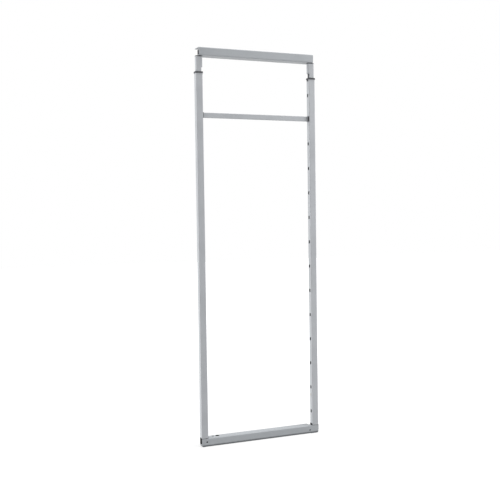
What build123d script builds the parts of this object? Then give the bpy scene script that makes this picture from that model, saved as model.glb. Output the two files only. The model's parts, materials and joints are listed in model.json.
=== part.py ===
from build123d import *

import os

# Pull out pantry frame: two slotted uprights on a bottom rail, and a top rail on two sliding inner tubes.
#
# Lengths are in millimetres. X runs along the rails from the front (door) end to the rear end, Y from the
# frame's flat side to its runner side, and Z is up. The origin is on the underside of the bottom rail,
# midway between the two holes that fasten it to the lower runner.
#
# The pieces of one end are drawn with x = 0 on the outer face of their upright and x growing inwards, and
# with y = 0 on the flat side. at_end carries them to the front end or mirrors them to the rear end.

# Frame
frame_width = 493.0
runner_line = 27.0
ends = ("front", "rear")

# Uprights
upright_width = 26.5
upright_depth = 21.0
upright_wall = 1.5
upright_bend = 1.5
upright_length = 1365.8
relief_height = 5.8
outer_relief_height = 2.6
relief_width = 15.0

# Hook slots
slot_pitch = 96.0
first_slot_height = 86.5
slot_height = 12.0
slot_width = 9.0
top_slot_drop = 67.0
top_slot_space = 60.0

# Bottom rail
bottom_rail_depth = 39.5
bottom_rail_height = 30.5
bottom_rail_wall = 1.5
bottom_rail_bend = 1.5
runner_hole_inset = 72.5
runner_hole_diameter = 6.5
access_hole_diameter = 16.0

# Corner shells and the plugs in their end faces
shell_length = {"front": 17.0, "rear": 33.5}
shell_wall = 1.5
shell_bend = 6.5
shell_edge_radius = 1.0
plug_window_width = 19.0
plug_window_foot = 10.0
plug_depth = 4.0

# Corner castings
casting_reach = 62.0
casting_stem_width = 10.0
casting_stem_top = 166.0
casting_pad_height = 28.0

# Foot plugs
foot_flange = 1.2
foot_body_height = 10.0

# Inner tubes
inner_tube_width = 24.5
inner_tube_wall = 1.5
inner_tube_bend = 0.8
inner_tube_length = 352.0
inner_tube_cut = 5.0
inner_tube_head = 38.5
exposed_length = 55.2

# Collars
collar_proud = 2.0
collar_height = 6.4
collar_roof = 1.3
collar_bevel = 1.0
sleeve_wall = 0.9
sleeve_length = 24.0

# Glides on the lower ends of the inner tubes
glide_height = 14.0
glide_channel_width = 11.0
glide_lead_in = 0.8
glide_spigot_height = 16.0
glide_spigot_thickness = 5.0

# Height locks
lock_drop = 42.5
lock_thread_diameter = 6.0
lock_boss_wall = 3.5
lock_boss_length = 6.0
lock_head_diameter = 10.5
lock_head_height = 3.3
lock_grip_gap = 1.0
lock_tip_gap = 0.25

# Head plugs and clamp blocks, which join the inner tubes to the top rail
head_cap_height = 3.0
head_spigot_length = 26.0
head_screw_inset = 20.5
clamp_block_length = 15.0
clamp_block_depth = 13.0
clamp_block_height = 19.0
clamp_block_bevel = 1.5

# Top rail
top_rail_inset = 10.5
top_rail_depth = 46.0
top_rail_height = 30.0
top_rail_wall = 2.0
top_rail_bend = 1.5
top_rail_front = -7.0
top_slot_inset = 86.5
top_slot_length = 20.0
top_slot_width = 7.0

# Cross bar and its sockets
bar_rise = 1.0
bar_height = 19.0
bar_depth = 10.0
bar_wall = 1.2
bar_bend = 0.8
bar_front = 8.0
socket_neck_length = 2.2
socket_rim = 1.2
socket_rim_height = 20.5
socket_rim_width = 20.0
socket_rim_margin = 3.0
socket_latch_width = 8.0
socket_latch_depth = 2.0
socket_plug_length = 15.0

# Screws
screw_diameter = 5.0
screw_head_diameter = 9.5
screw_head_height = 3.0
small_screw_diameter = 4.0
small_head_diameter = 8.0
small_head_height = 2.2
sunk_head_diameter = 6.0
sunk_head_depth = {"front": 6.0, "rear": 1.0}
screw_length = 14.0
hex_share = 0.5
top_screw_inset = 54.0
corner_screw_inset = {"front": 21.0, "rear": 37.5}
corner_screw_height = {"front": 17.5, "rear": 13.0}

# Fits
fit_gap = 0.1
slide_gap = 0.15
thread_gap = 0.05
edge_bevel = 0.5
corner_cut = 1.2
overrun = 2.0

# Heights and places that follow
upright_foot = bottom_rail_height + foot_flange
upright_top = upright_foot + upright_length
collar_top = upright_top + collar_roof
inner_tube_top = collar_top + exposed_length
inner_tube_foot = inner_tube_top - inner_tube_length
top_rail_foot = inner_tube_top + head_cap_height
inner_tube_start = upright_wall + sleeve_wall + slide_gap
inner_tube_end = inner_tube_start + inner_tube_width
leg_end = inner_tube_end - inner_tube_cut
lock_inset = (inner_tube_start + leg_end) / 2
lock_height = upright_top - lock_drop
lock_seat = upright_depth + lock_boss_length
top_slot_level = upright_top - top_slot_drop
slot_count = 1 + int((top_slot_level - top_slot_space - first_slot_height) / slot_pitch)
slot_levels = [first_slot_height + number * slot_pitch for number in range(slot_count)]
bar_level = slot_levels.pop() + bar_rise
slot_levels.append(top_slot_level)
middle = upright_depth / 2
stem_end = upright_wall + casting_stem_width
upright_screw_height = casting_stem_top - casting_pad_height / 2
runner_hole_x = frame_width / 2 - runner_hole_inset
top_slot_x = frame_width / 2 - top_slot_inset


def at_end(shape, end):
    """Carry a piece drawn from the outer face inwards to the front end, or mirror it to the rear end."""
    moved = Pos(-frame_width / 2, -runner_line, 0) * shape
    return moved if end == "front" else mirror(moved, about=Plane.YZ)


def outline(a0, a1, b0, b1, radius):
    """A rounded rectangle between two corners."""
    return Pos((a0 + a1) / 2, (b0 + b1) / 2) * RectangleRounded(a1 - a0, b1 - b0, radius)


def cut_outline(a0, a1, b0, b1, cut):
    """A rectangle between two corners, with its own corners cut off at 45 degrees."""
    return Pos((a0 + a1) / 2, (b0 + b1) / 2) * chamfer(Rectangle(a1 - a0, b1 - b0).vertices(), cut)


def tube_outline(a0, a1, b0, b1, wall, bend):
    """The section of a rectangular tube, from its inside bend radius and its wall."""
    return outline(a0, a1, b0, b1, bend + wall) - outline(a0 + wall, a1 - wall, b0 + wall, b1 - wall, bend)


def inside_upright(gap):
    """A plan outline that fills an upright's hollow but for a gap, and clears its inside bends."""
    inset = upright_wall + gap
    return cut_outline(inset, upright_width - inset, inset, upright_depth - inset, corner_cut)


def along_z(profile, z0, z1):
    """Carry a plan outline up from z0 to z1."""
    return extrude(Pos(0, 0, z0) * profile, amount=z1 - z0)


def along_x(profile, x0, x1):
    """Carry an outline drawn in Y and Z along the rails from x0 to x1."""
    return extrude(Plane.YZ.offset(x0) * profile, amount=x1 - x0)


def along_y(profile, y0, y1):
    """Carry an outline drawn in X and Z across the frame from y0 to y1."""
    return extrude(Plane.XZ.offset(-y0) * profile, amount=y0 - y1)


def room(x0, x1, y0, y1, z0, z1):
    """A plain block between two corners."""
    return Pos(x0, y0, z0) * Box(x1 - x0, y1 - y0, z1 - z0, align=(Align.MIN, Align.MIN, Align.MIN))


def hole(axis, diameter, start, end):
    """A round bar on one axis from start to end, for bored holes and shanks."""
    turns = {Axis.X: Rot(0, 90, 0), Axis.Y: Rot(-90, 0, 0), Axis.Z: Rot(0, 0, 0)}
    bar = Cylinder(diameter / 2, end - start, align=(Align.CENTER, Align.CENTER, Align.MIN))
    return turns[axis] * Pos(0, 0, start) * bar


def cap_screw(shank, length, head, head_height):
    """A screw down from z = 0, with a flat head and a hexagon socket above it."""
    socket = RegularPolygon(head * hex_share / 2, 6)
    screw = hole(Axis.Z, shank, -length, 0) + hole(Axis.Z, head, 0, head_height)
    return screw - extrude(Pos(0, 0, head_height) * socket, amount=-head_height / 2)


def upright():
    """A slotted tube: hook slots and the bar's window in its inner wall, a lock hole in its back."""
    body = along_z(tube_outline(0, upright_width, 0, upright_depth, upright_wall, upright_bend),
                   upright_foot, upright_top)
    x0, x1 = upright_width - upright_wall - overrun, upright_width + overrun
    slot = along_x(Rectangle(slot_width, slot_height), x0, x1)
    for level in slot_levels:
        body -= Pos(0, middle, level) * slot
    body -= along_x(socket_outline(socket_rim_margin), x0, x1)
    half = relief_width / 2
    body -= room(x0, x1, middle - half, middle + half, upright_foot - overrun, upright_foot + relief_height)
    body -= room(-overrun, upright_wall + overrun, middle - half, middle + half,
                 upright_foot - overrun, upright_foot + outer_relief_height)
    body -= Pos(0, middle, upright_screw_height) * hole(Axis.X, small_screw_diameter + fit_gap, x0, x1)
    y0, y1 = upright_depth - upright_wall - overrun, upright_depth + overrun
    return body - Pos(lock_inset, 0, lock_height) * hole(Axis.Y, lock_thread_diameter + fit_gap, y0, y1)


def socket_outline(inset):
    """The outline of a bar socket on the upright's inner face, drawn in Y and Z."""
    half_y, half_z = socket_rim_width / 2 - inset, socket_rim_height / 2 - inset
    return cut_outline(middle - half_y, middle + half_y, bar_level - half_z, bar_level + half_z, corner_cut)


def bar_outline(inset, radius):
    """The outline of the cross bar drawn in Y and Z."""
    half = bar_height / 2 - inset
    return outline(bar_front + inset, bar_front + bar_depth - inset, bar_level - half, bar_level + half, radius)


def bottom_rail():
    """A box rail with runner holes in its lower wall, and screw and access holes in its other walls."""
    wall, top = bottom_rail_wall, bottom_rail_height
    x0 = shell_length["front"] - frame_width / 2
    x1 = frame_width / 2 - shell_length["rear"]
    body = along_x(tube_outline(0, bottom_rail_depth, 0, top, wall, bottom_rail_bend), x0, x1)
    for x in (-runner_hole_x, runner_hole_x):
        body -= Pos(x, runner_line, 0) * hole(Axis.Z, runner_hole_diameter, -overrun, wall + overrun)
    body -= Pos(-runner_hole_x, runner_line, 0) * hole(
        Axis.Z, access_hole_diameter, top - wall - overrun, top + overrun)
    body = Pos(0, -runner_line, 0) * body
    body -= at_end(top_screw_seat(), "front")
    for end in ends:
        body -= at_end(corner_screw_seat(end), end)
    return body


def shell_side(end, inset):
    """A corner shell's side outline, inset evenly from all edges but the one at the rail."""
    x0, x1 = inset, shell_length[end]
    side = Pos((x0 + x1) / 2, bottom_rail_height / 2) * Rectangle(x1 - x0, bottom_rail_height - 2 * inset)
    corner = side.vertices().sort_by(lambda point: point.X + point.Y)[0]
    return fillet(corner, shell_bend + shell_wall - inset)


def corner_shell(end):
    """The corner under an upright: rounded at its outer foot, open towards the rail, windowed at its end."""
    half = plug_window_width / 2
    plan = Rectangle(shell_length[end], upright_depth, align=(Align.MIN, Align.MIN))
    plan = fillet(plan.vertices().group_by(Axis.X)[0], shell_edge_radius)
    body = along_y(shell_side(end, 0), 0, upright_depth) & along_z(plan, 0, bottom_rail_height)
    body -= along_y(shell_side(end, shell_wall), shell_wall, upright_depth - shell_wall)
    body -= room(-overrun, plug_depth + fit_gap, middle - half, middle + half,
                 plug_window_foot, bottom_rail_height + overrun)
    return body - stem_room(bottom_rail_height - shell_wall - overrun, bottom_rail_height + overrun)


def stem_room(z0, z1):
    """The room that a casting's stem takes, with its clearance."""
    return room(upright_wall, stem_end + fit_gap, upright_wall, upright_depth - upright_wall, z0, z1)


def corner_plug():
    """The plug that fills a corner shell's window, with a lip behind the shell's end wall."""
    half, inset = plug_window_width / 2 - fit_gap, shell_wall + fit_gap
    face = room(0, plug_depth, middle - half, middle + half, plug_window_foot + fit_gap, bottom_rail_height)
    face = chamfer(face.edges().filter_by(Axis.Z).group_by(Axis.X)[0], edge_bevel)
    return face + room(shell_wall, plug_depth, inset, upright_depth - inset,
                       plug_window_foot - shell_wall, bottom_rail_height - inset)


def corner_casting(end):
    """The angle in a corner: an arm in the rail, a neck in the shell and a stem up inside the upright."""
    inset = bottom_rail_wall + fit_gap
    body = along_x(cut_outline(inset, bottom_rail_depth - inset, inset, bottom_rail_height - inset, corner_cut),
                   shell_length[end], casting_reach)
    inset = shell_wall + fit_gap
    body += along_y(shell_side(end, inset), inset, upright_depth - inset)
    inset = upright_wall + fit_gap
    body += along_z(cut_outline(inset, stem_end, inset, upright_depth - inset, corner_cut),
                    bottom_rail_height / 2, casting_stem_top)
    body += along_z(inside_upright(fit_gap), casting_stem_top - casting_pad_height, casting_stem_top)
    body -= room(-overrun, plug_depth + fit_gap, 0, upright_depth,
                 plug_window_foot - shell_wall - fit_gap, bottom_rail_height)
    body -= Pos(0, middle, upright_screw_height) * hole(
        Axis.X, small_screw_diameter + 2 * thread_gap, upright_width - screw_length - overrun, upright_width)
    body -= corner_screw_seat(end)
    return body - top_screw_seat() if end == "front" else body


def foot_plug():
    """The plug in an upright's foot: a flange under its wall, a body beside the stem, a tab in its relief."""
    body = along_z(outline(0, upright_width, 0, upright_depth, upright_bend + upright_wall),
                   bottom_rail_height, upright_foot)
    body += along_z(inside_upright(fit_gap), upright_foot, upright_foot + foot_body_height)
    half = relief_width / 2 - fit_gap
    body += room(stem_end, upright_width, middle - half, middle + half,
                 upright_foot, upright_foot + relief_height - fit_gap)
    body += room(0, upright_wall, middle - half, middle + half,
                 upright_foot, upright_foot + outer_relief_height - fit_gap)
    return body - stem_room(bottom_rail_height - overrun, upright_foot + foot_body_height + overrun)


def leg_outline(gap):
    """The outer outline of an inner tube's leg section, which ends short of the hooks."""
    x0, y0 = inner_tube_start - gap, inner_tube_start - gap
    full = outline(x0, inner_tube_end, y0, upright_depth - y0, inner_tube_bend + inner_tube_wall)
    front = Rectangle(inner_tube_width, upright_depth, align=(Align.MIN, Align.MIN))
    return full - Pos(leg_end + gap, 0) * front


def inner_tube():
    """The sliding tube: a closed head, and below it a leg section that is milled open to clear the hooks."""
    y0 = inner_tube_start
    section = tube_outline(inner_tube_start, inner_tube_end, y0, upright_depth - y0,
                           inner_tube_wall, inner_tube_bend)
    body = along_z(section, inner_tube_foot, inner_tube_top)
    return body - room(leg_end, inner_tube_end + overrun, 0, upright_depth,
                       inner_tube_foot - overrun, inner_tube_top - inner_tube_head)


def collar():
    """The collar: a cap over the upright's top, and a sleeve inside it that guides the inner tube."""
    proud, foot = collar_proud, collar_top - collar_height
    radius = upright_bend + upright_wall
    cap = along_z(outline(-proud, upright_width + proud, -proud, upright_depth + proud, radius + proud),
                  foot, collar_top)
    cap = chamfer(cap.edges().group_by(Axis.Z)[-1], collar_bevel)
    cap -= room(0, upright_width, 0, upright_depth, foot - overrun, upright_top)
    body = cap + along_z(inside_upright(0), upright_top - sleeve_length, upright_top)
    return body - along_z(leg_outline(slide_gap), upright_top - sleeve_length - overrun, collar_top + overrun)


def tube_glide():
    """The glide under an inner tube: it fills the upright but for a channel that clears the hooks."""
    foot = inner_tube_foot - glide_height
    body = along_z(inside_upright(slide_gap), foot, inner_tube_foot)
    body = chamfer(body.edges().group_by(Axis.Z)[0], glide_lead_in)
    wall = inner_tube_start + inner_tube_wall + fit_gap
    channel_start = wall + glide_spigot_thickness
    body += along_z(cut_outline(wall, channel_start, wall, upright_depth - wall, edge_bevel),
                    inner_tube_foot, inner_tube_foot + glide_spigot_height)
    half = glide_channel_width / 2
    return body - room(channel_start, upright_width, middle - half, middle + half,
                       foot - overrun, inner_tube_foot + overrun)


def lock_boss():
    """The threaded boss on an upright's back face."""
    boss = hole(Axis.Y, lock_thread_diameter + 2 * lock_boss_wall, upright_depth, lock_seat)
    bore = hole(Axis.Y, lock_thread_diameter + 2 * thread_gap, upright_depth - overrun, lock_seat + overrun)
    return Pos(lock_inset, 0, lock_height) * (boss - bore)


def lock_screw():
    """The lock screw, backed off so that its tip stands clear of the inner tube."""
    tip = upright_depth - inner_tube_start + lock_tip_gap
    seat = lock_seat + lock_grip_gap
    screw = cap_screw(lock_thread_diameter, seat - tip, lock_head_diameter, lock_head_height)
    return Pos(lock_inset, seat, lock_height) * Rot(-90, 0, 0) * screw


def head_plug():
    """The plug in an inner tube's head, with the cap that carries the top rail."""
    x0, x1, y0 = inner_tube_start, inner_tube_end, inner_tube_start
    body = along_z(outline(x0, x1, y0, upright_depth - y0, inner_tube_bend + inner_tube_wall),
                   inner_tube_top, top_rail_foot)
    inset = inner_tube_wall + fit_gap
    body += along_z(cut_outline(x0 + inset, x1 - inset, y0 + inset, upright_depth - y0 - inset,
                                inner_tube_bend), inner_tube_top - head_spigot_length, inner_tube_top)
    foot = inner_tube_top - screw_length - overrun
    return body - Pos(head_screw_inset, middle, 0) * hole(
        Axis.Z, screw_diameter + 2 * thread_gap, foot, top_rail_foot + overrun)


def clamp_block():
    """The block on the top rail's lower flange that spreads the head screw's pull."""
    foot = top_rail_foot + top_rail_wall
    top = foot + clamp_block_height
    half_x, half_y = clamp_block_length / 2, clamp_block_depth / 2
    body = along_z(cut_outline(head_screw_inset - half_x, head_screw_inset + half_x, middle - half_y,
                               middle + half_y, clamp_block_bevel), foot, top)
    body = chamfer(body.edges().group_by(Axis.Z)[-1], edge_bevel)
    return body - Pos(head_screw_inset, middle, 0) * hole(
        Axis.Z, screw_diameter + fit_gap, foot - overrun, top + overrun)


def head_screw():
    """The screw down through a clamp block, the rail's flange and the head plug."""
    seat = top_rail_foot + top_rail_wall + clamp_block_height
    screw = cap_screw(screw_diameter, seat - inner_tube_top + screw_length,
                      screw_head_diameter, screw_head_height)
    return Pos(head_screw_inset, middle, seat) * screw


def top_rail():
    """A channel open to the back and at both ends, with slots for the upper runner in its top flange."""
    depth, height, wall = top_rail_depth, top_rail_height, top_rail_wall
    section = tube_outline(0, 2 * depth, 0, height, wall, top_rail_bend)
    section -= Pos(depth, 0) * Rectangle(2 * depth, height, align=(Align.MIN, Align.MIN))
    half = frame_width / 2 - top_rail_inset
    body = Pos(0, top_rail_front, top_rail_foot) * along_x(section, -half, half)
    slot = along_z(SlotOverall(top_slot_length, top_slot_width), height - wall - overrun, height + overrun)
    for x in (-top_slot_x, top_slot_x):
        body -= Pos(x, top_rail_front + (wall + depth) / 2, top_rail_foot) * slot
    screw_hole = hole(Axis.Z, screw_diameter + fit_gap, -overrun, wall + overrun)
    for sign in (-1, 1):
        body -= Pos(sign * (frame_width / 2 - head_screw_inset), middle, top_rail_foot) * screw_hole
    return Pos(0, -runner_line, 0) * body


def cross_bar():
    """A small flat tube between the two bar sockets."""
    half = frame_width / 2 - upright_width - socket_neck_length
    section = bar_outline(0, bar_bend + bar_wall) - bar_outline(bar_wall, bar_bend)
    return Pos(0, -runner_line, 0) * along_x(section, -half, half)


def bar_socket():
    """The seat of a bar's end: a rim on the upright, a latch inside it, and a neck and plug for the bar."""
    face = upright_width
    back = face - upright_wall
    neck_end = face + socket_neck_length
    body = along_x(socket_outline(0), face, face + socket_rim)
    body += along_x(socket_outline(socket_rim_margin + fit_gap), back, face)
    half = socket_latch_width / 2
    reach = socket_rim_height / 2
    body += along_x(cut_outline(middle - half, middle + half, bar_level - reach, bar_level + reach, edge_bevel),
                    back - socket_latch_depth, back)
    body += along_x(bar_outline(0, bar_bend + bar_wall), face, neck_end)
    inset = bar_wall + fit_gap
    half = bar_height / 2 - inset
    return body + along_x(cut_outline(bar_front + inset, bar_front + bar_depth - inset, bar_level - half,
                                      bar_level + half, bar_bend), neck_end, neck_end + socket_plug_length)


def upright_screw():
    """The screw in an upright's inner face, with its shank in the casting's pad."""
    screw = cap_screw(small_screw_diameter, screw_length, small_head_diameter, small_head_height)
    return Pos(upright_width, middle, upright_screw_height) * Rot(0, 90, 0) * screw


def corner_screw(end):
    """The screw sunk in the bottom rail's flat face, which holds the rail on a casting."""
    screw = cap_screw(small_screw_diameter, screw_length, sunk_head_diameter - fit_gap, small_head_height)
    seat = sunk_head_depth[end] + small_head_height
    return Pos(corner_screw_inset[end], seat, corner_screw_height[end]) * Rot(90, 0, 0) * screw


def corner_screw_seat(end):
    """The stepped hole for a corner screw, through the rail's wall and into the casting."""
    seat = sunk_head_depth[end] + small_head_height
    cut = hole(Axis.Y, sunk_head_diameter, -overrun, seat)
    cut += hole(Axis.Y, small_screw_diameter + 2 * thread_gap, 0, seat + screw_length + overrun)
    return Pos(corner_screw_inset[end], 0, corner_screw_height[end]) * cut


def flat_head(shank):
    """A screw down from a flat head that is flush with z = 0."""
    depth = (screw_head_diameter - screw_diameter) / 2
    cone = Pos(0, 0, -depth / 2) * Cone(screw_diameter / 2, screw_head_diameter / 2, depth)
    return cone + hole(Axis.Z, shank, -depth - screw_length, -depth / 2)


def rail_top_screw():
    """The flush screw in the bottom rail's top face, which holds the rail down on the front casting."""
    screw = flat_head(screw_diameter)
    screw -= extrude(RegularPolygon(screw_diameter * hex_share, 6), amount=-screw_head_height / 2)
    return Pos(top_screw_inset, runner_line, bottom_rail_height) * screw


def top_screw_seat():
    """The countersunk hole for the screw in the bottom rail's top face."""
    cut = flat_head(screw_diameter + 2 * thread_gap)
    return Pos(top_screw_inset, runner_line, bottom_rail_height) * cut


def pair(make):
    """The front and rear copies of one piece, as one group of separate solids."""
    return Compound(children=[at_end(make(), end) for end in ends])


def build_pieces():
    """Every piece by name, in its place."""
    pieces = {
        "bottom_rail": bottom_rail(),
        "top_rail": top_rail(),
        "cross_bar": cross_bar(),
        "upright_screws": pair(upright_screw),
        "head_screws": pair(head_screw),
        "lock_bosses": pair(lock_boss),
        "corner_screws": Compound(children=[at_end(corner_screw(end), end) for end in ends]),
        "rail_top_screw": at_end(rail_top_screw(), "front"),
    }
    for end in ends:
        pieces[f"{end}_corner_shell"] = at_end(corner_shell(end), end)
        pieces[f"{end}_corner_casting"] = at_end(corner_casting(end), end)
        for make in (corner_plug, upright, foot_plug, inner_tube, collar, tube_glide, lock_screw, head_plug,
                     clamp_block, bar_socket):
            pieces[f"{end}_{make.__name__}"] = at_end(make(), end)
    return pieces


os.makedirs("parts", exist_ok=True)
for piece_name, piece in build_pieces().items():
    export_step(piece, f"parts/{piece_name}.step")
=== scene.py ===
# %% [markdown]
# A pull out pantry frame is a tall rectangle of painted steel tube that rolls out of a kitchen cabinet.
# Two slotted uprights stand on a bottom rail, baskets hook into the slots, and a top rail sits on two
# inner tubes that slide up to meet the cabinet's top. This file dresses that frame for a picture. Its
# solids come ready made, in metres and in their real places, so what is left is surfaces, a few small
# pieces of workshop detail, the light and the camera.

# %% Load the frame
import json
import math

import bmesh
import bpy
from mathutils import Matrix, Vector


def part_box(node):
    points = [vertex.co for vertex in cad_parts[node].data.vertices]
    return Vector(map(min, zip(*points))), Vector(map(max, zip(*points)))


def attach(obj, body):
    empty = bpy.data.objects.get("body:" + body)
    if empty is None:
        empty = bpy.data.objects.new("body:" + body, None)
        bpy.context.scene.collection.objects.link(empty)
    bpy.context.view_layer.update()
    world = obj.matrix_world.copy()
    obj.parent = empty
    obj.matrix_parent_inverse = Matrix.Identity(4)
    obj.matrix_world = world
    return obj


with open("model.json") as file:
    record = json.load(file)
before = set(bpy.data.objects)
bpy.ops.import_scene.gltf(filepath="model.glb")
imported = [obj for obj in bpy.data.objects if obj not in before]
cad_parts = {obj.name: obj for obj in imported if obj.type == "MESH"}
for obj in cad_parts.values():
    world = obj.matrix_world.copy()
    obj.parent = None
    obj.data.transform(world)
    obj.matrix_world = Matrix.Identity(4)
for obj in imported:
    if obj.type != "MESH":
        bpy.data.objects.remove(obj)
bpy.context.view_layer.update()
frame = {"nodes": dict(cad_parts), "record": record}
MM = 0.001

# %% [markdown]
# Colours are written once, as they look in plain light. Blender works in linear light, while a colour
# written as display levels is in the display's own curve, so a small function converts the one to the
# other. The
# Standard view transform then shows each colour as it was written.

# %% Colours and the view transform
bpy.context.scene.view_settings.view_transform = "Standard"


def linear(level):
    """A display level from 0 to 255 as linear light."""
    share = level / 255
    return share / 12.92 if share <= 0.04045 else ((share + 0.055) / 1.055) ** 2.4


def colour(red, green, blue):
    """A display colour as a linear colour with full opacity."""
    return (linear(red), linear(green), linear(blue), 1.0)


UPRIGHT_GREYS = colour(191, 194, 198), colour(186, 189, 193)
# The rails' greys are the uprights' greys made darker: painted shade.
RAIL_SHADED_GREYS = colour(180, 184, 188), colour(175, 179, 183)
# Painted shade for the lowest few millimetres, darkest at the lower bend.
FOOT_SHADE_GREY = colour(100, 104, 108)
# Painted shade for the inside of the tube bores and the punched edges of slots and holes.
BORE_SHADE = colour(30, 31, 33)
MOULDED_BLACK = colour(24, 25, 27)
RUBBED_BLACK = colour(32, 33, 35)
GRAPHITE = colour(94, 95, 98)
RUBBED_GRAPHITE = colour(104, 105, 108)
BLACK_OXIDE = colour(44, 44, 46)
DULL_OXIDE = colour(34, 34, 36)
ZINC = colour(206, 205, 200)
DULL_ZINC = colour(184, 184, 182)
CAST_GREY = colour(84, 85, 88)
DARK_CAST = colour(66, 67, 70)
print("satin grey in linear light:", [round(value, 3) for value in UPRIGHT_GREYS[0][:3]])

# %% [markdown]
# Several finishes share the same two effects: a fine relief, and slow uneven patches. Each effect is one
# node group with named sockets, built once and placed in each material with its own numbers. A group is
# the node editor's form of a function: change it in one place and every material follows.

# %% A helper that makes a node group
def shader_group(name, inputs, outputs):
    """An empty shader group. inputs are (name, value) pairs, outputs are names; all are plain values."""
    group = bpy.data.node_groups.new(name, "ShaderNodeTree")
    for title, value in inputs:
        socket = group.interface.new_socket(title, in_out="INPUT", socket_type="NodeSocketFloat")
        socket.default_value = value
    for title in outputs:
        group.interface.new_socket(title, in_out="OUTPUT", socket_type="NodeSocketFloat")
    return group, group.nodes.new("NodeGroupInput"), group.nodes.new("NodeGroupOutput")


def node(tree, kind, **settings):
    """Add one node to a tree and set its properties."""
    made = tree.nodes.new(kind)
    for key, value in settings.items():
        setattr(made, key, value)
    return made


# %% [markdown]
# Powder coat is sprayed on as dust and baked, and it flows out into a skin with a very fine ripple.
# Moulded plastic carries the fine spark-eroded grain of its mould. Both are small noise at a real
# size, so the group takes that size in metres and turns it into the noise's scale.

# %% Group: fine relief
def sized_noise(group, size, place):
    """A 3-D noise. One socket gives the size of its features, another the place where it is read."""
    scale = node(group, "ShaderNodeMath", operation="DIVIDE")
    scale.inputs[0].default_value = 1.0
    noise = node(group, "ShaderNodeTexNoise", noise_dimensions="3D")
    group.links.new(size, scale.inputs[1])
    group.links.new(place, noise.inputs["Vector"])
    group.links.new(scale.outputs[0], noise.inputs["Scale"])
    return noise


def make_relief():
    group, enter, leave = shader_group("fine relief", [("Size", 1.0 * MM), ("Detail", 2.0)], ["Height"])
    place = node(group, "ShaderNodeTexCoord")
    noise = sized_noise(group, enter.outputs["Size"], place.outputs["Object"])
    group.links.new(enter.outputs["Detail"], noise.inputs["Detail"])
    group.links.new(noise.outputs["Fac"], leave.inputs["Height"])
    return group


relief_group = make_relief()
print("group made:", relief_group.name)

# %% [markdown]
# No handled metal is even all over. Fingers, cardboard and a cloth leave patches that are a little
# glossier or a little duller than the rest. A slow noise, squeezed between two levels, gives a mask
# that is mostly zero with soft islands of one.

# %% Group: uneven patches
PATCH_DETAIL = 3.0


def squeeze_mask(group, value, start, end, leave):
    """Fade a value from zero at one level to one at another, and put it out as the group's mask."""
    fade = node(group, "ShaderNodeMapRange", interpolation_type="SMOOTHSTEP")
    group.links.new(value, fade.inputs["Value"])
    group.links.new(start, fade.inputs["From Min"])
    group.links.new(end, fade.inputs["From Max"])
    group.links.new(fade.outputs["Result"], leave.inputs["Mask"])


def make_patches():
    inputs = [("Size", 80.0 * MM), ("From", 0.4), ("To", 0.7)]
    group, enter, leave = shader_group("uneven patches", inputs, ["Mask"])
    place = node(group, "ShaderNodeTexCoord")
    noise = sized_noise(group, enter.outputs["Size"], place.outputs["Object"])
    noise.inputs["Detail"].default_value = PATCH_DETAIL
    squeeze_mask(group, noise.outputs["Fac"], enter.outputs["From"], enter.outputs["To"], leave)
    return group


patches_group = make_patches()
print("group made:", patches_group.name)

# %% [markdown]
# The inner tubes slide through plastic collars, and the extruded look of drawn tube runs the same way:
# long faint lines up and down. Stretching the coordinates before the noise makes streaks out of dots.

# %% Group: drawn streaks
STREAK_SQUASH = (1.0, 1.0, 0.006)
STREAK_DETAIL = 2.0


def make_streaks():
    inputs = [("Width", 0.6 * MM), ("From", 0.5), ("To", 0.75)]
    group, enter, leave = shader_group("drawn streaks", inputs, ["Mask"])
    place = node(group, "ShaderNodeTexCoord")
    stretch = node(group, "ShaderNodeVectorMath", operation="MULTIPLY")
    stretch.inputs[1].default_value = STREAK_SQUASH
    group.links.new(place.outputs["Object"], stretch.inputs[0])
    noise = sized_noise(group, enter.outputs["Width"], stretch.outputs[0])
    noise.inputs["Detail"].default_value = STREAK_DETAIL
    squeeze_mask(group, noise.outputs["Fac"], enter.outputs["From"], enter.outputs["To"], leave)
    return group


streaks_group = make_streaks()
print("group made:", streaks_group.name)

# %% [markdown]
# Powder is drawn to the outside of a tube and hardly reaches its bore, so the bore is bare steel. Its
# near black colour here is painted shade, for the dark inside of the tube that shows through a slot. The
# bore has no faces of its own in the material, but it has a place: every point that lies deeper than the
# wall, across both short sides of the tube. The group compares a point with a centre and a half size on
# each axis, and puts out one where all three say inside.

# %% Group: painted shade in the tube bore
def make_bore_shade():
    kinds = ("Centre", 0.0), ("Half", 1.0)
    inputs = [(f"{kind} {axis}", value) for axis in "XYZ" for kind, value in kinds]
    group, enter, leave = shader_group("tube bore shade", inputs, ["Mask"])
    place = node(group, "ShaderNodeTexCoord")
    split = node(group, "ShaderNodeSeparateXYZ")
    group.links.new(place.outputs["Object"], split.inputs[0])
    mask = None
    for axis in "XYZ":
        inside = node(group, "ShaderNodeMath", operation="COMPARE")
        group.links.new(split.outputs[axis], inside.inputs[0])
        group.links.new(enter.outputs[f"Centre {axis}"], inside.inputs[1])
        group.links.new(enter.outputs[f"Half {axis}"], inside.inputs[2])
        if mask is None:
            mask = inside.outputs[0]
        else:
            both = node(group, "ShaderNodeMath", operation="MULTIPLY")
            group.links.new(mask, both.inputs[0])
            group.links.new(inside.outputs[0], both.inputs[1])
            mask = both.outputs[0]
    group.links.new(mask, leave.inputs["Mask"])
    return group


bore_shade_group = make_bore_shade()
print("group made:", bore_shade_group.name)

# %% [markdown]
# The lowest few millimetres of the frame are painted darker, darkest at the lower bend.
# This is painted shade for the lower bend and the underside near the floor. Height alone drives this
# mask, and a noise breaks its upper edge.

# %% Group: painted shade at the foot
FOOT_SHADE_NOISE_SCALE = 90.0


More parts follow.
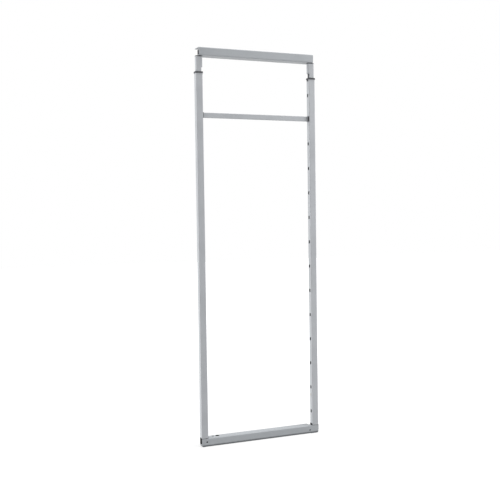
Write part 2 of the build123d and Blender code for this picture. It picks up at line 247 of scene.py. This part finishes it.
def make_foot_shade():
    inputs = [("Unshaded", 9.5 * MM), ("Fully Shaded", 4.5 * MM), ("Unevenness", 2.0 * MM)]
    group, enter, leave = shader_group("painted foot shade", inputs, ["Mask"])
    place = node(group, "ShaderNodeTexCoord")
    split = node(group, "ShaderNodeSeparateXYZ")
    noise = node(group, "ShaderNodeTexNoise", noise_dimensions="3D")
    noise.inputs["Scale"].default_value = FOOT_SHADE_NOISE_SCALE
    stray = node(group, "ShaderNodeMath", operation="MULTIPLY_ADD")
    group.links.new(place.outputs["Object"], split.inputs[0])
    group.links.new(place.outputs["Object"], noise.inputs["Vector"])
    group.links.new(noise.outputs["Fac"], stray.inputs[0])
    group.links.new(enter.outputs["Unevenness"], stray.inputs[1])
    group.links.new(split.outputs["Z"], stray.inputs[2])
    squeeze_mask(group, stray.outputs[0], enter.outputs["Unshaded"], enter.outputs["Fully Shaded"], leave)
    return group


foot_shade_group = make_foot_shade()
print("group made:", foot_shade_group.name)

# %% [markdown]
# Each material below is the same small recipe: one Principled shader, a mask that moves its colour and
# its roughness between two written values, and a relief that feeds a Bump node. The helpers keep the
# wiring in one place, and the numbers that matter stay in the call.

# %% Helpers that build a material
def start_material(name):
    """A new node material with its Principled shader, still plain."""
    material = bpy.data.materials.new(name)
    material.use_nodes = True
    return material, material.node_tree, material.node_tree.nodes["Principled BSDF"]


def place_group(tree, group, **values):
    """Put a group into a material and set its inputs by name."""
    placed = node(tree, "ShaderNodeGroup", node_tree=group)
    for key, value in values.items():
        placed.inputs[key].default_value = value
    return placed


def vary_colour(tree, shader, mask, first, second):
    """Let a mask move Base Color from the first colour to the second."""
    mix = node(tree, "ShaderNodeMix", data_type="RGBA")
    mix.inputs["A"].default_value, mix.inputs["B"].default_value = first, second
    tree.links.new(mask, mix.inputs["Factor"])
    tree.links.new(mix.outputs["Result"], shader.inputs["Base Color"])


def overlay_colour(tree, shader, mask, over):
    """Lay one more colour over what already feeds Base Color, where a mask is one."""
    under = shader.inputs["Base Color"].links[0].from_socket
    mix = node(tree, "ShaderNodeMix", data_type="RGBA")
    mix.inputs["B"].default_value = over
    tree.links.new(under, mix.inputs["A"])
    tree.links.new(mask, mix.inputs["Factor"])
    tree.links.new(mix.outputs["Result"], shader.inputs["Base Color"])


def vary_roughness(tree, shader, mask, first, second):
    """Let a mask move Roughness from the first value to the second."""
    spread = node(tree, "ShaderNodeMapRange")
    spread.inputs["To Min"].default_value, spread.inputs["To Max"].default_value = first, second
    tree.links.new(mask, spread.inputs["Value"])
    tree.links.new(spread.outputs["Result"], shader.inputs["Roughness"])


def raise_relief(tree, shader, height, depth, strength):
    """Feed a height into a Bump node. depth is the relief's real height in metres."""
    bump = node(tree, "ShaderNodeBump")
    bump.inputs["Distance"].default_value = depth
    bump.inputs["Strength"].default_value = strength
    tree.links.new(height, bump.inputs["Height"])
    tree.links.new(bump.outputs["Normal"], shader.inputs["Normal"])


# %% [markdown]
# The rails and uprights are powder coated in a light silver grey: satin, with a faint cool cast. It is
# paint, so it isn't metallic. A wide soft highlight comes from a middling roughness. The rails get a
# darker copy of the same coat, which is painted shade for their faces.

# %% Material: satin powder coat
COAT_ROUGHNESS = 0.46, 0.38
RIPPLE_DEPTH, RIPPLE_STRENGTH = 0.02 * MM, 0.5


def make_powder_coat(name, greys, rubbed=False):
    """Satin powder coat between two greys. rubbed adds the fine lines that a sliding fit leaves."""
    material, tree, shader = start_material(name)
    patches = place_group(tree, patches_group, Size=110 * MM, From=0.42, To=0.66)
    relief = place_group(tree, relief_group, Size=1.4 * MM, Detail=2.0)
    vary_colour(tree, shader, patches.outputs["Mask"], *greys)
    mask = patches.outputs["Mask"]
    if rubbed:
        streaks = place_group(tree, streaks_group, Width=0.9 * MM, From=0.5, To=0.7)
        mask = streaks.outputs["Mask"]
    vary_roughness(tree, shader, mask, *COAT_ROUGHNESS)
    raise_relief(tree, shader, relief.outputs["Height"], RIPPLE_DEPTH, RIPPLE_STRENGTH)
    return material


powder_coat = make_powder_coat("satin powder coat", UPRIGHT_GREYS)
# A darker copy of the coat, as painted shade on the rails.
shaded_rail_coat = make_powder_coat("satin powder coat, rails, painted shade", RAIL_SHADED_GREYS)
sliding_coat = make_powder_coat("satin powder coat, rubbed", UPRIGHT_GREYS, rubbed=True)
print("materials made:", [material.name for material in (powder_coat, shaded_rail_coat, sliding_coat)])

# %% [markdown]
# The uprights and the bottom rail get the same coat with painted shade in the bore, and what stands on
# the floor side also gets the painted shade at the foot. The bore's size is read from the solid's own
# box, less most of a wall, so the rounded outside corners stay coated. The punched edges of slots and
# holes are painted dark too, as the shade of the slots and holes. They lie in narrow bands of the walls,
# where the mask comes nearer to the surface.

# %% Materials: coated tubes with painted shade in the bores
COAT_REACH, EDGE_REACH = 1.25 * MM, 0.35 * MM
HOOK_SLOT_HALF, ACCESS_HOLE_HALF, SCREW_HOLE_HALF = 4.6 * MM, 8.1 * MM, 3.6 * MM


def coat_with_bore_shade(solid_name, along, greys, bands):
    """Powder coat for one tube along one axis, with painted shade in its bore and on the edges of its
    holes. bands are the (axis, centre, half width) of its holes.
    """
    material = make_powder_coat(f"satin powder coat, {solid_name.replace('_', ' ')}", greys)
    tree = material.node_tree
    low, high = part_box(solid_name)
    # The painted shade in the bore comes first, and then one band of painted shade for each row of holes.
    for band, reach in [(None, COAT_REACH)] + [(band, EDGE_REACH) for band in bands]:
        bore = place_group(tree, bore_shade_group)
        for axis, start, stop in zip("XYZ", low, high):
            centre, half = (start + stop) / 2, (stop - start) / 2 - reach
            if band and band[0] == axis:
                centre, half = band[1:]
            bore.inputs[f"Centre {axis}"].default_value = centre
            if axis != along:
                bore.inputs[f"Half {axis}"].default_value = half
        overlay_colour(tree, tree.nodes["Principled BSDF"], bore.outputs["Mask"], BORE_SHADE)
    return material


def paint_foot_shade(material):
    """Add the painted shade at the foot to a coat."""
    tree = material.node_tree
    foot_shade = place_group(tree, foot_shade_group)
    overlay_colour(tree, tree.nodes["Principled BSDF"], foot_shade.outputs["Mask"], FOOT_SHADE_GREY)
    return material


def middle_of(solid_name):
    """The middle of a solid's box."""
    low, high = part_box(solid_name)
    return (low + high) / 2


bore_shaded_coats = {}
for name in ("front_upright", "rear_upright"):
    bore_shaded_coats[name] = coat_with_bore_shade(name, "Z", UPRIGHT_GREYS, [("Y", middle_of(name).y, HOOK_SLOT_HALF)])
rail_holes = [("Y", 0.0, ACCESS_HOLE_HALF), ("Z", middle_of("corner_screws").z, SCREW_HOLE_HALF)]
# The bottom rail and the corner shells take painted shade at their foot.
bore_shaded_coats["bottom_rail"] = paint_foot_shade(coat_with_bore_shade("bottom_rail", "X", RAIL_SHADED_GREYS, rail_holes))
foot_shaded_coat = paint_foot_shade(make_powder_coat("satin powder coat, corner shells, painted foot shade", RAIL_SHADED_GREYS))
print("materials made:", [material.name for material in bore_shaded_coats.values()], "and", foot_shaded_coat.name)

# %% [markdown]
# Plugs and glides are moulded in black nylon, and the collars, head plugs and bar sockets in a slightly
# lighter graphite. Neither looks pure black: the mould's grain scatters a little light, and corners that
# are touched polish to a paler, glossier tone. The fine grain also breaks up the mirror glare that a
# smooth plastic shows at a low angle, which a low Specular IOR Level stands for.

# %% Materials: moulded plastics
PLASTIC_ROUGHNESS = 0.78, 0.66
MOULD_GRAIN_DEPTH, GRAIN_STRENGTH = 0.04 * MM, 0.6
PLASTIC_GLARE = 0.1


def make_moulded(name, plain_tone, rubbed_tone):
    """A moulded plastic. The patches that are touched often take the rubbed tone and a little gloss."""
    material, tree, shader = start_material(name)
    patches = place_group(tree, patches_group, Size=12 * MM, From=0.45, To=0.7)
    relief = place_group(tree, relief_group, Size=0.4 * MM, Detail=3.0)
    vary_colour(tree, shader, patches.outputs["Mask"], plain_tone, rubbed_tone)
    vary_roughness(tree, shader, patches.outputs["Mask"], *PLASTIC_ROUGHNESS)
    raise_relief(tree, shader, relief.outputs["Height"], MOULD_GRAIN_DEPTH, GRAIN_STRENGTH)
    shader.inputs["Specular IOR Level"].default_value = PLASTIC_GLARE
    return material


moulded_black = make_moulded("moulded black plastic", MOULDED_BLACK, RUBBED_BLACK)
moulded_graphite = make_moulded("moulded graphite plastic", GRAPHITE, RUBBED_GRAPHITE)
print("materials made:", moulded_black.name, "and", moulded_graphite.name)

# %% [markdown]
# Most screws are zinc plated, the sunk ones are blackened, and the corner castings are bare iron. All are
# metal all through, so they are fully metallic. What tells them apart is tone and relief: the plating is
# smooth and bright, the casting has a coarse dark skin.

# %% Materials: zinc plate, cast iron and black oxide
def make_metal(name, bright, dull, gloss, grain_size, grain_depth):
    """A bare metal surface. gloss is the pair of roughness values that its patches run between."""
    material, tree, shader = start_material(name)
    shader.inputs["Metallic"].default_value = 1.0
    patches = place_group(tree, patches_group, Size=6 * MM, From=0.4, To=0.7)
    relief = place_group(tree, relief_group, Size=grain_size, Detail=4.0)
    vary_colour(tree, shader, patches.outputs["Mask"], bright, dull)
    vary_roughness(tree, shader, patches.outputs["Mask"], *gloss)
    raise_relief(tree, shader, relief.outputs["Height"], grain_depth, GRAIN_STRENGTH)
    return material


zinc_plate = make_metal("zinc plate", ZINC, DULL_ZINC, (0.26, 0.38), 0.5 * MM, 0.01 * MM)
cast_iron = make_metal("cast iron", CAST_GREY, DARK_CAST, (0.5, 0.66), 0.9 * MM, 0.12 * MM)
black_oxide = make_metal("black oxide", BLACK_OXIDE, DULL_OXIDE, (0.4, 0.55), 0.5 * MM, 0.01 * MM)
print("materials made:", zinc_plate.name, cast_iron.name, "and", black_oxide.name)

# %% [markdown]
# The lock screws carry a rolled thread on their shanks. A real thread as a mesh would be thousands of
# faces for two millimetres that show, so here a wave texture with the thread's own pitch drives the
# bump instead. A mask keeps the wave off the head, which starts where the shank ends.

# %% Material: zinc plate with a thread
THREAD_PITCH = 1.0 * MM


def make_threaded(head_start):
    """Zinc plate whose bump turns into a thread below the given place on the Y axis."""
    material = zinc_plate.copy()
    material.name = "zinc plate, threaded"
    tree = material.node_tree
    shader = tree.nodes["Principled BSDF"]
    place = node(tree, "ShaderNodeTexCoord")
    split = node(tree, "ShaderNodeSeparateXYZ")
    wave = node(tree, "ShaderNodeMath", operation="PINGPONG")
    wave.inputs[1].default_value = THREAD_PITCH / 2
    below = node(tree, "ShaderNodeMath", operation="LESS_THAN")
    below.inputs[1].default_value = head_start
    keep = node(tree, "ShaderNodeMath", operation="MULTIPLY")
    # The wave is a height in metres already, so the bump takes it as it is.
    bump = node(tree, "ShaderNodeBump")
    bump.inputs["Distance"].default_value = 1.0
    tree.links.new(place.outputs["Object"], split.inputs[0])
    tree.links.new(split.outputs["Y"], wave.inputs[0])
    tree.links.new(split.outputs["Y"], below.inputs[0])
    tree.links.new(wave.outputs[0], keep.inputs[0])
    tree.links.new(below.outputs[0], keep.inputs[1])
    tree.links.new(keep.outputs[0], bump.inputs["Height"])
    tree.links.new(bump.outputs["Normal"], shader.inputs["Normal"])
    return material


HEAD_HEIGHT = 3.3 * MM
threaded_zinc = make_threaded(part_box("front_lock_screw")[1].y - HEAD_HEIGHT)
print("material made:", threaded_zinc.name)

# %% [markdown]
# Every solid already knows which finish it has: the record names a material slot for each. A short
# table turns slots into materials, and a few names that need something special come after it.

# %% Dress the solids
FINISHES = {"frame_paint": powder_coat, "casting": cast_iron, "screw_steel": zinc_plate,
            "black_plastic": moulded_black}
SPECIAL = {"corner_screws": black_oxide, "rail_top_screw": black_oxide, "top_rail": shaded_rail_coat,
           **bore_shaded_coats}
for end in ("front", "rear"):
    SPECIAL[f"{end}_inner_tube"] = sliding_coat
    SPECIAL[f"{end}_corner_shell"] = foot_shaded_coat
    SPECIAL[f"{end}_lock_screw"] = threaded_zinc
    for part in ("collar", "head_plug", "bar_socket"):
        SPECIAL[f"{end}_{part}"] = moulded_graphite


def dress(solid, material):
    """Put one material on every slot of a solid."""
    if not solid.material_slots:
        solid.data.materials.append(material)
    for place in solid.material_slots:
        place.material = material


slot_of = {part["node"]: part["material_slot"] for part in frame["record"]["subparts"]}
for name, solid in frame["nodes"].items():
    dress(solid, SPECIAL.get(name, FINISHES[slot_of[name]]))
print("solids dressed:", len(frame["nodes"]))

# %% [markdown]
# Each lock boss is welded to its upright before painting, so a small bead runs round its foot. A weld
# bead is a row of overlapping drops. A ring whose thickness swells and shrinks as it goes round gives
# that look, and paint over it softens the rest.

# %% Weld beads round the lock bosses
BOSS_RADIUS = 6.5 * MM
BEAD_RADIUS = 0.9 * MM
BEAD_DROPS = 18
BEAD_STEPS, BEAD_SIDES = 6, 10
# Shares of the bead's radius: its neck between two drops, its shift away from the boss, and its height.
BEAD_NECK, BEAD_SPREAD, BEAD_RISE = 0.85, 0.35, 0.75


def weld_bead(name, centre):
    """A rippled ring in the XZ plane round a centre, built as rings of points that a loop joins up."""
    around, across = BEAD_DROPS * BEAD_STEPS, BEAD_SIDES
    mesh = bpy.data.meshes.new(name)
    form = bmesh.new()
    rings = []
    for step in range(around):
        turn = 2 * math.pi * step / around
        swell = BEAD_RADIUS * (BEAD_NECK + (1 - BEAD_NECK) * abs(math.sin(turn * BEAD_DROPS / 2)))
        ring = []
        for side in range(across):
            lean = 2 * math.pi * side / across
            reach = BOSS_RADIUS + swell * BEAD_SPREAD + swell * math.cos(lean)
            rise = max(0.0, swell * BEAD_RISE * math.sin(lean))
            ring.append(form.verts.new(centre + Vector((
                reach * math.cos(turn), rise, reach * math.sin(turn)))))
        rings.append(ring)
    for step in range(around):
        here, ahead = rings[step], rings[(step + 1) % around]
        for side in range(across):
            beside = (side + 1) % across
            form.faces.new((here[side], here[beside], ahead[beside], ahead[side]))
    bmesh.ops.recalc_face_normals(form, faces=form.faces)
    form.to_mesh(mesh)
    form.free()
    mesh.polygons.foreach_set("use_smooth", [True] * len(mesh.polygons))
    bead = bpy.data.objects.new(name, mesh)
    bpy.context.scene.collection.objects.link(bead)
    mesh.materials.append(powder_coat)
    return bead


for end in ("front", "rear"):
    low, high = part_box(f"{end}_lock_screw")
    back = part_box(f"{end}_upright")[1].y
    centre = Vector(((low.x + high.x) / 2, back, (low.z + high.z) / 2))
    bead = weld_bead(f"{end}_weld_bead", centre)
    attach(bead, "base_frame")
    print("weld bead at", [round(value, 4) for value in centre])

# %% [markdown]
# Two thin moulded plates on each upright's inner face are painted shade. The graphite one below the
# collar is the collar's painted shadow, and the black one at the foot is painted shade in the corner
# where the upright meets the rail. The corner plug has a lip of its own, which hides the window's rim on
# the flat side. Each is a rounded plate with a bevelled rim: one outline on the wall, the same outline a
# little further out, and a smaller one on top.

# %% Moulded plates of painted shade, and the plug lips, on the uprights
LIP_BEVEL = 0.25 * MM
LIP_ROUND = 1.2 * MM
LIP_STEPS = 5


def rounded_outline(half_y, half_z, radius):
    """Points round a rectangle with rounded corners, as pairs."""
    points = []
    for quarter, (side_y, side_z) in enumerate(((1, 1), (-1, 1), (-1, -1), (1, -1))):
        for step in range(LIP_STEPS + 1):
            turn = math.pi / 2 * (quarter + step / LIP_STEPS)
            points.append((side_y * (half_y - radius) + radius * math.cos(turn),
                           side_z * (half_z - radius) + radius * math.sin(turn)))
    return points


def moulded_lip(name, wall, facing, low, high, thickness, material):
    """A plate on the wall at x = wall, between two (y, z) corners. facing is the wall's way, 1 or -1."""
    middle = [(low[side] + high[side]) / 2 for side in (0, 1)]
    half = [(high[side] - low[side]) / 2 for side in (0, 1)]
    form = bmesh.new()
    rings = []
    for out, inset in ((0.0, 0.0), (thickness - LIP_BEVEL, 0.0), (thickness, LIP_BEVEL)):
        outline = rounded_outline(half[0] - inset, half[1] - inset, LIP_ROUND - inset)
        rings.append([form.verts.new((wall + facing * out, middle[0] + y, middle[1] + z))
                      for y, z in outline])
    for here, above in zip(rings, rings[1:]):
        for step in range(len(here)):
            beside = (step + 1) % len(here)
            form.faces.new((here[step], here[beside], above[beside], above[step]))
    form.faces.new(rings[0])
    form.faces.new(rings[-1])
    bmesh.ops.recalc_face_normals(form, faces=form.faces)
    mesh = bpy.data.meshes.new(name)
    form.to_mesh(mesh)
    form.free()
    lip = bpy.data.objects.new(name, mesh)
    bpy.context.scene.collection.objects.link(lip)
    mesh.materials.append(material)
    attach(lip, "base_frame")


COLLAR_HEIGHT = 6.4 * MM
# The collar plate is graphite plastic that stands for the collar's painted shadow on the inner face.
COLLAR_SHADOW_WIDTH, COLLAR_SHADOW_DROP, COLLAR_SHADOW_THICKNESS = 12 * MM, 6.5 * MM, 1.2 * MM
# The foot plate is black plastic that stands for painted shade in the corner where the upright meets the
# rail.
CORNER_SHADE_WIDTH, CORNER_SHADE_RISE, CORNER_SHADE_THICKNESS = 18.5 * MM, 5.8 * MM, 0.5 * MM
PLUG_LIP_WIDTH, PLUG_LIP_HEIGHT, PLUG_LIP_THICKNESS = 17.5 * MM, 19.6 * MM, 0.4 * MM
for end, inward in (("front", 1), ("rear", -1)):
    low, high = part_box(f"{end}_upright")
    wall = high.x if inward > 0 else low.x
    centre_y, collar_foot = (low.y + high.y) / 2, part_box(f"{end}_collar")[1].z - COLLAR_HEIGHT
    shade_plates = (("collar", COLLAR_SHADOW_WIDTH, collar_foot - COLLAR_SHADOW_DROP, COLLAR_SHADOW_DROP,
                   COLLAR_SHADOW_THICKNESS, moulded_graphite),
                  ("foot", CORNER_SHADE_WIDTH, low.z, CORNER_SHADE_RISE, CORNER_SHADE_THICKNESS, moulded_black))
    for kind, width, foot, rise, thickness, material in shade_plates:
        moulded_lip(f"{end}_{kind}_lip", wall, inward, (centre_y - width / 2, foot),
                    (centre_y + width / 2, foot + rise), thickness, material)
    outside = low.x if inward > 0 else high.x
    moulded_lip(f"{end}_plug_lip", outside, -inward, (low.y, low.z - PLUG_LIP_HEIGHT),
                (low.y + PLUG_LIP_WIDTH, low.z), PLUG_LIP_THICKNESS, moulded_black)
    print("lips on the", end, "upright at x =", round(wall, 4), "and", round(outside, 4), "and at z =",
          round(low.z, 4), "and", round(collar_foot, 4))

# %% [markdown]
# The studio is a pale floor and a white surround. For the camera both are plain white, which Light
# Path's Is Camera Ray allows, while the light that reaches the frame stays soft and moderate. A glossy
# face sees the floor as the camera does. The floor adds its own shaded colour to that white, so the
# frame's contact shadow survives. Away from the frame the lamps' light on the floor falls off, so the
# added white grows with the distance.

# %% Floor and surround
FLOOR_GREY = colour(174, 174, 174)
FLOOR_SIZE, FLOOR_LEVEL = 24.0, -0.3 * MM
NEAR_WHITE, FAR_WHITE = 0.6, 1.0
NEAR_REACH, FAR_REACH = 0.5, 2.5


def make_floor():
    material = bpy.data.materials.new("studio floor")
    material.use_nodes = True
    tree = material.node_tree
    tree.nodes.remove(tree.nodes["Principled BSDF"])
    out = tree.nodes["Material Output"]
    paper = node(tree, "ShaderNodeBsdfDiffuse")
    paper.inputs["Color"].default_value = FLOOR_GREY
    glow = node(tree, "ShaderNodeEmission")
    path = node(tree, "ShaderNodeLightPath")
    seen = node(tree, "ShaderNodeMath", operation="MAXIMUM")
    level = node(tree, "ShaderNodeMath", operation="MULTIPLY")
    place = node(tree, "ShaderNodeTexCoord")
    reach = node(tree, "ShaderNodeVectorMath", operation="LENGTH")
    white = node(tree, "ShaderNodeMapRange", interpolation_type="SMOOTHSTEP")
    white.inputs["From Min"].default_value, white.inputs["From Max"].default_value = NEAR_REACH, FAR_REACH
    white.inputs["To Min"].default_value, white.inputs["To Max"].default_value = NEAR_WHITE, FAR_WHITE
    tree.links.new(place.outputs["Object"], reach.inputs[0])
    tree.links.new(reach.outputs["Value"], white.inputs["Value"])
    tree.links.new(white.outputs["Result"], level.inputs[1])
    both = node(tree, "ShaderNodeAddShader")
    tree.links.new(path.outputs["Is Camera Ray"], seen.inputs[0])
    tree.links.new(path.outputs["Is Glossy Ray"], seen.inputs[1])
    tree.links.new(seen.outputs[0], level.inputs[0])
    tree.links.new(level.outputs[0], glow.inputs["Strength"])
    tree.links.new(paper.outputs[0], both.inputs[0])
    tree.links.new(glow.outputs[0], both.inputs[1])
    tree.links.new(both.outputs[0], out.inputs["Surface"])
    bpy.ops.mesh.primitive_plane_add(size=FLOOR_SIZE, location=(0, 0, FLOOR_LEVEL))
    floor = bpy.context.object
    floor.name = "studio_floor"
    floor.data.materials.append(material)


FILL_LEVEL = 0.57


def make_surround():
    world = bpy.data.worlds.new("studio surround")
    bpy.context.scene.world = world
    world.use_nodes = True
    tree = world.node_tree
    ground = tree.nodes["Background"]
    path = node(tree, "ShaderNodeLightPath")
    seen = node(tree, "ShaderNodeMath", operation="MAXIMUM")
    level = node(tree, "ShaderNodeMapRange")
    level.inputs["To Min"].default_value = FILL_LEVEL
    level.inputs["To Max"].default_value = 1.0
    ground.inputs["Color"].default_value = (1.0, 1.0, 1.0, 1.0)
    tree.links.new(path.outputs["Is Camera Ray"], seen.inputs[0])
    tree.links.new(path.outputs["Is Transmission Ray"], seen.inputs[1])
    tree.links.new(seen.outputs[0], level.inputs["Value"])
    tree.links.new(level.outputs["Result"], ground.inputs["Strength"])


make_floor()
make_surround()
print("studio ready, fill level", FILL_LEVEL)

# %% [markdown]
# Three large soft lamps do the modelling. One stands far off at the frame's front end, with its middle as
# high as the frame, so that no rail shades the narrow faces that look that way and they are the lightest.
# One hangs overhead for the rails' top faces, high enough that the top rail isn't lit much more than the
# bottom one, and a weak one on the flat side lifts the rear upright. Large lamps far away give each long
# face one even tone, as in a catalogue picture.

# %% Soft lamps
def softbox(name, place, target, size, power):
    """A square area lamp that looks at a target."""
    lamp = bpy.data.lights.new(name, "AREA")
    lamp.shape, lamp.size, lamp.energy = "SQUARE", size, power
    stand = bpy.data.objects.new(name, lamp)
    stand.location = place
    stand.rotation_euler = (Vector(target) - Vector(place)).to_track_quat("-Z", "Y").to_euler()
    bpy.context.scene.collection.objects.link(stand)


softbox("overhead_lamp", (0.0, 0.0, 4.6), (0.0, 0.0, 0.0), 2.4, 78)
softbox("front_end_lamp", (-6.0, 1.2, 1.5), (0.0, 0.0, 0.8), 2.8, 226)
softbox("flat_side_lamp", (2.8, -1.5, 2.0), (0.0, 0.0, 0.9), 1.4, 57)

# %% [markdown]
# The camera stands at the picture's own viewpoint: some three metres off, a little above the frame's
# middle, turned to see the front end's narrow faces, and looking slightly down. A 60 mm lens keeps the
# uprights nearly parallel. Its axes are built from the three angles and set as a matrix, because a
# matrix has no doubt about the order of the turns.

# %% Camera
LENS, SENSOR_WIDTH = 60.0, 36.0
TURN, TILT, ROLL = math.radians(23.42), math.radians(2.33), math.radians(-0.794)
STAND = Vector((-1.2996, -2.9356, 0.8629))


def place_camera():
    ahead = Vector((math.sin(TURN) * math.cos(TILT), math.cos(TURN) * math.cos(TILT), -math.sin(TILT)))
    level = Vector((math.cos(TURN), -math.sin(TURN), 0.0))
    upward = level.cross(ahead)
    right = math.cos(ROLL) * level + math.sin(ROLL) * upward
    upward = math.cos(ROLL) * upward - math.sin(ROLL) * level
    axes = Matrix((right, upward, -ahead)).transposed()
    lens = bpy.data.cameras.new("picture camera")
    lens.lens, lens.sensor_width = LENS, SENSOR_WIDTH
    camera = bpy.data.objects.new("picture_camera", lens)
    camera.matrix_world = Matrix.Translation(STAND) @ axes.to_4x4()
    bpy.context.scene.collection.objects.link(camera)
    bpy.context.scene.camera = camera
    return camera


camera = place_camera()
print("camera at", [round(value, 3) for value in camera.location])
